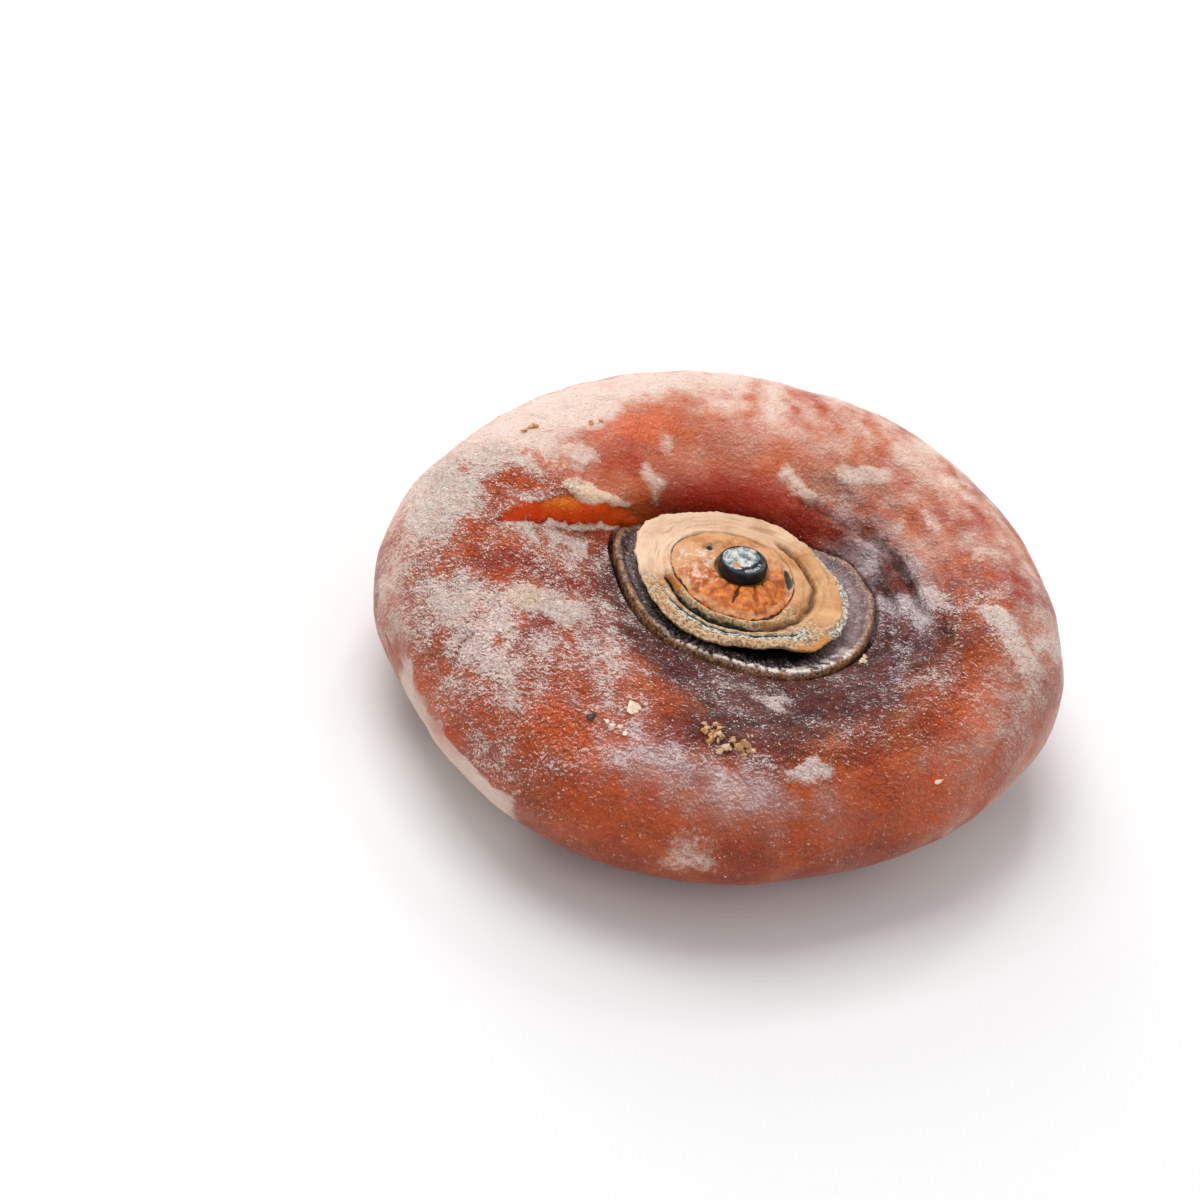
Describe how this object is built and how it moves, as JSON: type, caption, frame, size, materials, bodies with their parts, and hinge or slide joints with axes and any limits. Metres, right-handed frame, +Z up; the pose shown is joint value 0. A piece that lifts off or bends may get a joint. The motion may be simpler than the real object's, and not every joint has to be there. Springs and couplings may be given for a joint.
{
  "type": "dried persimmon",
  "caption": "Whole dried persimmon pressed into a flat cake, with a hollow that holds its woody calyx, receptacle disc and stem end; lies flat on its underside.",
  "frame": {"origin": "on the surface that the fruit rests on, under the middle of its outline", "axes": "+Z up out of the hollow that holds the calyx, +Y towards the thicker side of the fruit, +X to the right of it when the thicker side is at the back"},
  "size_m": [0.069, 0.067, 0.0221],
  "materials": {
    "sugared_flesh": "dried orange-red flesh, leathery and finely wrinkled, with patches of white sugar bloom",
    "dried_peel": "dark brown leathery peel with a soft gloss",
    "calyx_bark": "matt tan woody plate with a ragged edge",
    "receptacle_bark": "orange-brown woody disc with radial cracks",
    "stem_bark": "glossy black bark round a grey pith"
  },
  "bodies": {
    "root": {"flesh": "sugared_flesh", "peel_collar": "dried_peel", "calyx": "calyx_bark", "receptacle": "receptacle_bark", "stem_stub": "stem_bark"}
  },
  "joints": []
}
